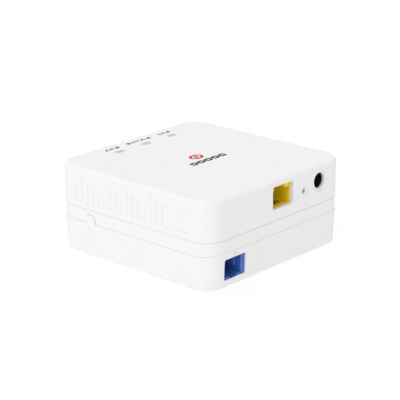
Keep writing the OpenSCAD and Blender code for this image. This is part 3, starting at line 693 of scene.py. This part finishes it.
def tip_boxes():
    """Boxes of the three tips of the light guide at the top face."""
    top = node_box("light_guide")[1].z
    verts = [v.co / MM for v in NODES["light_guide"].data.vertices if v.co.z / MM > top - 0.01]
    tips = []
    for point in sorted(verts, key=lambda p: p.x):
        if tips and point.x - tips[-1][-1].x < 4:
            tips[-1].append(point)
        else:
            tips.append([point])
    return [(Vector(map(min, zip(*tip))), Vector(map(max, zip(*tip)))) for tip in tips]


# ---- pieces that replace plain nodes ----


def add_feet():
    """Round rubber feet with a rolled edge and a moulded ring round a button."""
    bm = bmesh.new()
    for low, high in solids("rubber_feet"):
        r, t = (high.x - low.x) / 2, high.z - low.z
        edge = 0.35
        profile = [(0, 0.25), (0.4 * r, 0.25), (0.42 * r, 0.12), (0.46 * r, 0.12), (0.48 * r, 0.25),
                   (0.66 * r, 0.25), (0.74 * r, 0.0), (r - edge, 0.0)]
        profile += [(r - edge + edge * math.sin(math.radians(a)), edge - edge * math.cos(math.radians(a)))
                    for a in range(15, 91, 15)]
        profile += [(r, t - 0.1), (r - 0.1, t), (0, t)]
        add_lathe(bm, profile, Matrix.Translation(((low.x + high.x) / 2, (low.y + high.y) / 2, low.z)), 56)
    add_piece(bm, "moulded_feet", "foot_rubber", "base", ["rubber_feet"])


def add_thread(bm, place, core, crest, pitch, z_from, z_to, sides=20, steps=6):
    """Screw thread: rings whose radius rises and falls along a helix, fading at both ends."""
    count = int((z_to - z_from) / pitch * steps)
    rings = []
    for j in range(count + 1):
        z = z_from + (z_to - z_from) * j / count
        fade = min(1.0, (z - z_from) / pitch, (z_to - z) / (1.5 * pitch))
        ring = []
        for k in range(sides):
            phase = ((z - z_from) / pitch - k / sides) % 1
            rise = max(0.0, 1 - abs(phase - 0.5) / 0.32) * fade
            r, angle = core + (crest - core) * rise, 2 * math.pi * k / sides
            ring.append(bm.verts.new(place @ Vector((r * math.cos(angle), r * math.sin(angle), z))))
        rings.append(ring)
    for low, high in zip(rings, rings[1:]):
        for k in range(sides):
            bm.faces.new((low[k], low[(k + 1) % sides], high[(k + 1) % sides], high[k]))
    tip = bm.verts.new(place @ Vector((0, 0, z_to + core)))
    for k in range(sides):
        bm.faces.new((rings[-1][k], rings[-1][(k + 1) % sides], tip))
    bm.faces.new(rings[0][::-1])


def add_screws(name, node, head_h, shaft_r, pitch, head_down):
    """Threaded shafts of screws whose heads are at the low or the high end.

    Known fault: the two arms of the cross overlap in one mesh, so the exact boolean returns
    nothing and the pan head is lost. Each arm needs a mesh of its own, as in add_capacitors.
    """
    bm = bmesh.new()
    for low, high in solids(node):
        head_r, length = (high.x - low.x) / 2, high.z - low.z
        middle = ((low.x + high.x) / 2, (low.y + high.y) / 2)
        place = Matrix.Translation((*middle, low.z)) if head_down else \
            Matrix.Translation((*middle, high.z)) @ Matrix.Rotation(math.pi, 4, "X")
        head = bmesh.new()
        dome = [(0, 0), (0.55 * head_r, 0.0)]
        for a in (25, 45, 65, 80, 90):
            across, down = math.sin(math.radians(a)), math.cos(math.radians(a))
            dome.append((head_r * (0.55 + 0.45 * across), 0.45 * head_h * (1 - down)))
        add_lathe(head, dome + [(head_r, head_h), (0, head_h)], place, 40)
        cross = bmesh.new()
        for turn in (0, 90):
            spun = place @ Matrix.Rotation(math.radians(turn + 45), 4, "Z")
            arm = [(-0.55 * head_r, -0.2), (0.55 * head_r, -0.2), (0.55 * head_r, 0.1),
                   (0.18 * head_r, 0.7 * head_h), (-0.18 * head_r, 0.7 * head_h), (-0.55 * head_r, 0.1)]
            side = spun @ Matrix.Translation((0, 0.19, 0)) @ Matrix.Rotation(math.pi / 2, 4, "X")
            add_prism(cross, arm, 0.38, side)
        merge(bm, carved(head, cross))
        add_thread(bm, place, 0.76 * shaft_r, shaft_r, pitch, head_h - 0.05, length - shaft_r)
    add_piece(bm, name, "screw_steel", "unit", [node], angle=40)


def add_patch(bm, place, inner, outer, wide, z0, z1):
    """Part of a tube wall, centred on the -X side."""
    spots = [math.pi + wide * (i / 8 - 0.5) for i in range(9)]
    outline = [(outer * math.cos(a), outer * math.sin(a)) for a in spots]
    outline += [(inner * math.cos(a), inner * math.sin(a)) for a in reversed(spots)]
    add_prism(bm, outline, z1 - z0, place @ Matrix.Translation((0, 0, z0)))


def add_capacitors():
    """Electrolytic cans in a printed sleeve, with a crimp and a scored top."""
    sleeves, tops, stripes, signs = (bmesh.new() for _ in range(4))
    for low, high in solids("bulk_capacitors"):
        r, h = (high.x - low.x) / 2, high.z - low.z
        place = Matrix.Translation(((low.x + high.x) / 2, (low.y + high.y) / 2, low.z))
        profile = [(r - 0.35, 0), (r - 0.08, 0.12), (r, 0.45), (r, 0.85), (r - 0.12, 1.0), (r - 0.3, 1.2),
                   (r - 0.12, 1.45), (r, 1.65), (r, h - 0.35), (r - 0.12, h - 0.1), (r - 0.4, h),
                   (r - 0.75, h - 0.02), (r - 0.8, h - 0.12), (0, h - 0.12)]
        add_lathe(sleeves, profile, place, 64)
        disc = bmesh.new()
        rim = r - 0.82
        profile = [(0, h - 0.3), (rim, h - 0.3), (rim, h - 0.08), (rim - 0.1, h - 0.04), (0, h - 0.04)]
        add_lathe(disc, profile, place, 64)
        scores = []
        for turn in (0, 60, 120):
            scores.append(bmesh.new())
            spun = place @ Matrix.Rotation(math.radians(turn), 4, "Z") @ Matrix.Translation((0, 0, h))
            add_stack(scores[-1], [(2 * (r - 1.5), 0.16, -0.12), (2 * (r - 1.5), 0.16, 0.12)], spun)
        merge(tops, carved(disc, *scores))
        wide = math.radians(52)
        skin = r + 0.015
        add_patch(stripes, place, r - 0.2, skin, wide, 1.8, h - 0.5)
        for z in (2.6, 4.2, 5.8, 7.4):
            add_patch(signs, place, r - 0.2, skin + 0.012, wide / 3.5, z, z + 0.35)
    add_piece(sleeves, "capacitor_cans", "capacitor_sleeve", "unit", ["bulk_capacitors"])
    add_piece(tops, "capacitor_tops", "aluminium")
    add_piece(stripes, "capacitor_stripes", "board_print")
    add_piece(signs, "capacitor_signs", "grey_ink")


def add_inductors():
    """Wire-wound power inductors: two ferrite flanges with rows of copper wire between them."""
    cores, windings, ends = bmesh.new(), bmesh.new(), bmesh.new()
    for low, high in solids("power_inductors"):
        w = high.x - low.x
        x, y = (low.x + high.x) / 2, (low.y + high.y) / 2
        for z, t in ((low.z + 0.5, 1.0), (high.z - 0.4, 0.8)):
            corner = 1.1
            octagon = [(sx * (w / 2 - corner * (1 - cut)), sy * (w / 2 - corner * cut))
                       for sx in (-1, 1) for sy in (-1, 1) for cut in (0, 1)]
            outline = sorted(octagon, key=lambda p: math.atan2(p[1], p[0]))
            add_prism(cores, outline, t, Matrix.Translation((x, y, z - t / 2)), 0.12)
        add_lathe(cores, [(1.9, low.z + 0.9), (1.9, high.z - 0.7)], Matrix.Translation((x, y, 0)), 24)
        wire, start, end = 0.14, low.z + 1.0, high.z - 0.8
        turns = int((end - start) / (2 * wire))
        steps = 28
        coil_r, climb = w / 2 - 0.62, (end - start - 2 * wire) / (turns * steps)
        path = [Vector((x + coil_r * math.cos(2 * math.pi * i / steps),
                        y + coil_r * math.sin(2 * math.pi * i / steps), start + wire + climb * i))
                for i in range(turns * steps + 1)]
        add_sweep(windings, path, wire, 8)
        for side in (-1, 1):
            add_block(ends, (1.2, 2.4, 0.3), (x + side * (w / 2 - 0.58), y, low.z + 0.15), 0.05)
    add_piece(cores, "inductor_cores", "ferrite_grey", "unit", ["power_inductors"])
    add_piece(windings, "inductor_windings", "copper_wire")
    add_piece(ends, "inductor_terminals", "nickel")


LEAD_T = 0.15


def add_leads(bm, low, high, reach, axis, count, pitch, width, exit_z):
    """Gull-wing leads along both sides of a chip that face an axis, inside the chip's box."""
    x, y = (low.x + high.x) / 2, (low.y + high.y) / 2
    t = LEAD_T
    outline = [(-0.1, exit_z), (0.3 * reach, exit_z), (0.55 * reach, t), (reach, t), (reach, 0),
               (0.42 * reach, 0), (0.18 * reach, exit_z - t), (-0.1, exit_z - t)]
    for side in (-1, 1):
        for i in range(count):
            along_row = (i - (count - 1) / 2) * pitch
            out = Vector((side, 0, 0)) if axis == 0 else Vector((0, side, 0))
            up = Vector((0, 0, 1))
            row = out.cross(up)
            half = ((high.x - low.x) if axis == 0 else (high.y - low.y)) / 2 - reach
            origin = Vector((x, y, low.z)) + out * half + row * (along_row - width / 2)
            turn = Matrix((out, up, row)).transposed().to_4x4()
            add_prism(bm, outline, width, Matrix.Translation(origin) @ turn)


def add_chips(name, node, count, pitch, both_ways, reach=0.8, width=None, lift=0.1, r=0.07):
    """Moulded packages with sloping sides, a pin 1 dimple and formed leads."""
    bodies, leads = bmesh.new(), bmesh.new()
    for low, high in solids(node):
        size = high - low
        axes = (0, 1) if both_ways else ((0,) if size.x > size.y else (1,))
        inset = Vector((reach if 0 in axes else 0, reach if 1 in axes else 0, 0))
        body = size - 2 * inset
        body.z -= lift
        middle = (low + high) / 2
        exit_z = lift + 0.5 * body.z if body.z < 2 else lift + 1.0
        block = bmesh.new()
        split = exit_z - LEAD_T / 2
        slope = min(0.24, 0.4 * (size.z - split))
        add_stack(block, [(body.x - slope, body.y - slope, lift), (body.x, body.y, split),
                          (body.x - slope, body.y - slope, size.z)],
                  Matrix.Translation((middle.x, middle.y, low.z)))
        dimple = bmesh.new()
        spot = min(0.5, 0.09 * min(body.x, body.y))
        corner = (low.x + inset.x + 3.2 * spot, high.y - inset.y - 3.2 * spot, high.z)
        add_lathe(dimple, [(spot, -0.08), (spot * 1.1, 0.1)], Matrix.Translation(corner), 24)
        merge(bodies, carved(block, dimple))
        for axis in axes:
            add_leads(leads, low, high, reach, axis, count, pitch, width or 0.45 * pitch, exit_z)
    add_piece(bodies, name, SLOT_OF[node], "unit", [node], bevel=r, angle=30)
    add_piece(leads, name + "_leads", "nickel")


def add_small_parts(name, node, cap_share, body_slot, cap_r):
    """Chip resistors or capacitors: a body between two plated end caps."""
    bodies, caps = bmesh.new(), bmesh.new()
    for low, high in solids(node):
        size, middle = high - low, (low + high) / 2
        long_axis = 0 if size.x > size.y else 1
        cap = size.copy()
        cap[long_axis] *= cap_share
        for side in (-1, 1):
            place = middle.copy()
            place[long_axis] += side * (size[long_axis] - cap[long_axis]) / 2
            add_block(caps, cap, place, cap_r)
        body = size.copy()
        body[long_axis] *= 1 - 1.6 * cap_share
        body -= Vector([0 if i == long_axis else 0.05 for i in range(3)])
        add_block(bodies, body, middle, 0.03)
    add_piece(bodies, name, body_slot, "unit", [node])
    add_piece(caps, name + "_caps", "nickel")


def add_leds():
    """LED packages with a resin window and two terminals."""
    bodies, resin, ends = bmesh.new(), bmesh.new(), bmesh.new()
    for low, high in solids("status_leds"):
        size, middle = high - low, (low + high) / 2
        body = bmesh.new()
        add_block(body, (size.x - 0.5, size.y, size.z), middle, 0.05)
        window = bmesh.new()
        round_end = 0.42
        spots = [(side * 0.55 + round_end * math.cos(math.radians(first + turn)),
                  round_end * math.sin(math.radians(first + turn)))
                 for side, first in ((1, -90), (-1, 90)) for turn in range(0, 181, 15)]
        lid = Matrix.Translation((middle.x, middle.y, high.z))
        add_prism(window, spots, 0.5, lid @ Matrix.Translation((0, 0, -0.3)))
        merge(bodies, carved(body, window))
        add_prism(resin, spots, 0.24, lid @ Matrix.Translation((0, 0, -0.28)), 0.03)
        for side in (-1, 1):
            add_block(ends, (0.5, size.y - 0.1, 0.35 * size.z),
                      (middle.x + side * (size.x / 2 - 0.25), middle.y, low.z + 0.175 * size.z), 0.04)
    add_piece(bodies, "led_packages", "led_white", "unit", ["status_leds"])
    add_piece(resin, "led_phosphor", "phosphor")
    add_piece(ends, "led_terminals", "nickel")


def add_ribbed_cone(name, slot, node, axis, start, length, r0, r1, ribs):
    """Tapered rubber boot with grooves, from a start point along an axis."""
    bm = bmesh.new()
    profile = [(r0 - 0.15, 0), (r0, 0.15)]
    step = 0.72 * length / ribs
    first = 0.16 * length
    for i in range(ribs):
        z = first + i * step
        r = r0 + (r1 - r0) * z / length
        deep = 0.24 * r
        profile += [(r, z), (r - deep, z + 0.12 * step),
                    (r - deep, z + 0.45 * step), (r - 0.03, z + 0.57 * step)]
    profile += [(r1 + 0.12, 0.93 * length), (r1, length - 0.1), (r1 - 0.12, length)]
    add_lathe(bm, profile, along(axis, start), 40)
    add_piece(bm, name, slot, "unit", [node], bevel=0.06, angle=40)


FIBRE_R = 0.45
COIL_R = 22
COIL_TURNS = 2.5
COIL_RISE = 1.1


def fibre_path():
    """The route of the fibre: out of the boot, round the spool, then up through the slots."""
    low, high = node_box("fibre_pigtail")
    centre = Vector((high.x - FIBRE_R - COIL_R, high.y - FIBRE_R - COIL_R))
    start_x, start_z, end_z = low.x + FIBRE_R, low.z + FIBRE_R, high.z - FIBRE_R
    entry = Vector((start_x + COIL_R, centre.y))
    bend = [math.radians(180 - 3 * i) for i in range(31)]
    points = [Vector((entry.x + COIL_R * math.cos(turn), entry.y + COIL_R * math.sin(turn), start_z))
              for turn in bend]
    flat_turns = COIL_TURNS - 1
    climb_z = start_z + COIL_RISE * flat_turns
    steps = 240
    for i in range(steps + 1):
        turns = COIL_TURNS * i / steps
        climb = max(0.0, turns - flat_turns)
        share = climb - 0.5 * math.sin(2 * math.pi * climb) / (2 * math.pi)
        z = start_z + COIL_RISE * turns if turns <= flat_turns else climb_z + (end_z - climb_z) * share
        angle = math.radians(90 - 360 * turns)
        points.append(Vector((centre.x + COIL_R * math.cos(angle), centre.y + COIL_R * math.sin(angle), z)))
    relief_end = node_box("transceiver_strain_relief")[1].x
    for x in (centre.x - 5, centre.x - 10, relief_end):
        points.append(Vector((x, centre.y - COIL_R, end_z)))
    return points


def add_fibre():
    """The jacketed fibre along its whole route."""
    bm = bmesh.new()
    add_sweep(bm, fibre_path(), FIBRE_R, 14)
    add_piece(bm, "fibre_lead", "fibre_jacket", "unit", ["fibre_pigtail"], angle=50)


def add_adapter():
    """SC adapter: a bevelled block with a chamfered mouth, a keyway and a bore at both ends."""
    low, high = node_box("adapter_body")
    size, middle = high - low, (low + high) / 2
    mouth = Vector((9.4, 7.6))
    depth, chamfer = 11.5, 0.55
    body = bmesh.new()
    add_block(body, size, middle, 0.25, 3)
    cutters = []
    for end in (-1, 1):
        inward = facing((1, 0, 0), (0, 0, end), (middle.x, low.y if end < 0 else high.y, middle.z))
        cutter = bmesh.new()
        wide = 2 * chamfer
        add_stack(cutter, [(mouth.x + wide + 0.1, mouth.y + wide + 0.1, -0.05), (mouth.x, mouth.y, chamfer),
                           (mouth.x, mouth.y, depth)], inward)
        key = bmesh.new()
        wide, narrow = (4.6, mouth.y + 1.8), (4, mouth.y + 1.2)
        add_stack(key, [(*wide, -0.05), (*narrow, 0.3), (*narrow, depth)], inward)
        cutters += [cutter, key]
    bore = bmesh.new()
    add_lathe(bore, [(2.55, 0), (2.55, size.y + 2)], along((0, 1, 0), (middle.x, low.y - 1, middle.z)), 48)
    cutters.append(bore)
    add_piece(carved(body, *cutters), "adapter_shell", "blue_plastic", "unit", ["adapter_body"], angle=32)


def add_board_detail():
    """Pads, tracks and printed outlines on the upper side of the board."""
    top = node_box("main_board")[1].z
    pads = Plate((0, 0, top), (1, 0, 0), (0, 1, 0), 0.02)
    for node in ("ceramic_capacitors", "resistors", "status_leds", "input_diode"):
        for low, high in solids(node):
            size, middle = high - low, (low + high) / 2
            long_axis = 0 if size.x > size.y else 1
            for side in (-1, 1):
                spot = middle.copy()
                spot[long_axis] += side * size[long_axis] / 2
                wide = [size.x + 0.1, size.y + 0.1]
                wide[long_axis] = 0.8
                pads.box(spot, *wide)
    add_piece(pads.solid(), "board_pads", "nickel")

    prints = Plate((0, 0, top), (1, 0, 0), (0, 1, 0), 0.025)
    line, gap = 0.18, 0.5
    outlined = ("system_chip", "flash_chip", "laser_driver_chip", "regulator_chips", "lan_transformer",
                "power_inductors", "bulk_capacitors", "reference_crystal", "transceiver_block")
    for node in outlined:
        for low, high in solids(node):
            w, d = high.x - low.x + 2 * gap, high.y - low.y + 2 * gap
            x, y = (low.x + high.x) / 2, (low.y + high.y) / 2
            for side in (-1, 1):
                prints.box((x, y + side * d / 2), w + line, line)
                prints.box((x + side * w / 2, y), line, d + line)
            prints.disc((x - w / 2 - 0.6, y + d / 2 - 0.6), 0.3)
    add_piece(prints.solid(), "board_outlines", "board_print")

    tracks = Plate((0, 0, top), (1, 0, 0), (0, 1, 0), 0.015)

    def track(points, width=0.25):
        for start, end in zip(points, points[1:]):
            tracks.bar(start, end, width)
        for point in points:
            tracks.disc(point, width / 2)

    ends = ("system_chip", "lan_transformer", "lan_jack_housing", "flash_chip", "laser_driver_chip",
            "transceiver_block")
    chip, coil, jack, flash, driver, optics = (sum(node_box(node), Vector()) / 2 for node in ends)
    chip_low, coil_box = node_box("system_chip")[0], node_box("lan_transformer")
    for i in range(8):
        start, end = chip.x + (i - 3.5) * 0.8, coil.x + (i - 3.5) * 1.27
        drop = chip_low.y - 1.5 - 0.45 * abs(i - 3.5)
        track([(start, chip_low.y), (start, drop), (end, drop - abs(end - start)), (end, coil_box[1].y)])
        pin, edge = jack.x + (i - 3.5) * 1.02, coil_box[0].y
        track([(end, edge), (end, edge - 0.8), (pin, edge - 2.2), (pin, edge - 3.4)])
    for i in range(4):
        y = flash.y + (i - 1.5) * 1.27
        track([(chip_low.x, y), (flash.x + 3.2, y)])
    for i in range(2):
        y = chip_low.y + 2.6 - i * 0.5
        track([(chip_low.x, y), (chip_low.x - 2, y - 1.2), (driver.x + 2.6, y - 1.2)])
        x = driver.x - 0.3 + i * 0.6
        track([(x, driver.y - 2.6), (x, optics.y + 3.4)])
    for low, high in solids("status_leds"):
        x = (low.x + high.x) / 2 + 2.6
        shift = 0.08 * (x - chip.x)
        track([(x, high.y + 2.2), (x, low.y - 2), (chip.x + 3 + shift, chip.y + 10 + abs(shift)),
               (chip.x + 3 + shift, chip.y + 6.6)], 0.2)
    add_piece(tracks.solid(), "board_tracks", "track_green")


# Softened edges of the CAD nodes that stay in sight, in millimetres.
EDGE_WIDTHS = {
    "top_cover": 0.07, "middle_frame": 0.12, "base_cover": 0.12, "light_guide": 0.08,
    "main_board": 0.05, "lan_jack_housing": 0.12, "lan_jack_carrier": 0.08,
    "lan_jack_contacts": 0.04, "power_jack_housing": 0.15, "power_jack_pin": 0.05,
    "power_jack_spring": 0.05, "reset_switch_body": 0.12, "reset_plunger": 0.1,
    "reference_crystal": 0.1, "transceiver_block": 0.15, "laser_can": 0.08, "receiver_can": 0.08,
    "plug_body": 0.15, "plug_grip": 0.2, "plug_ferrule": 0.05, "adapter_hooks": 0.06,
    "adapter_sleeve": 0.03,
}

FINISHES = make_finishes()
SLOT_OF = {part["node"]: part["material_slot"] for part in frame["record"]["subparts"]}
add_camera()
add_studio()

for node, width in EDGE_WIDTHS.items():
    refine(node, width)

add_feet()
add_screws("case_screws_threaded", "case_screws", 1.3, 1.0, 0.8, head_down=True)
add_screws("board_screws_threaded", "board_screws", 1.3, 0.9, 0.7, head_down=False)
add_capacitors()
add_inductors()
add_chips("system_package", "system_chip", 12, 0.8, True)
add_chips("flash_package", "flash_chip", 4, 1.27, False)
add_chips("driver_package", "laser_driver_chip", 5, 0.6, True, r=0.04)
add_chips("regulator_packages", "regulator_chips", 4, 1.27, False)
add_chips("transformer_package", "lan_transformer", 8, 1.27, False, reach=0.9, width=0.5, lift=0.3, r=0.12)
add_chips("diode_package", "input_diode", 1, 1.0, False, reach=0.5, width=1.6)
add_small_parts("capacitor_chips", "ceramic_capacitors", 0.24, "tan_ceramic", 0.1)
add_small_parts("resistor_chips", "resistors", 0.2, "chip_black", 0.05)
add_leds()
boot_low, boot_high = node_box("plug_boot")
boot_x, boot_z = (boot_low.x + boot_high.x) / 2, (boot_low.z + boot_high.z) / 2
add_ribbed_cone("ribbed_boot", "blue_rubber", "plug_boot", (0, 1, 0), (boot_x, boot_low.y, boot_z),
                boot_high.y - boot_low.y, 2.6, 1.1, 7)
relief_low, relief_high = node_box("transceiver_strain_relief")
relief_y, relief_z = (relief_low.y + relief_high.y) / 2, (relief_low.z + relief_high.z) / 2
add_ribbed_cone("ribbed_relief", "black_rubber", "transceiver_strain_relief", (1, 0, 0),
                (relief_low.x, relief_y, relief_z), relief_high.x - relief_low.x, 1.8, 0.9, 4)
add_fibre()
add_adapter()
add_board_detail()
add_marks()
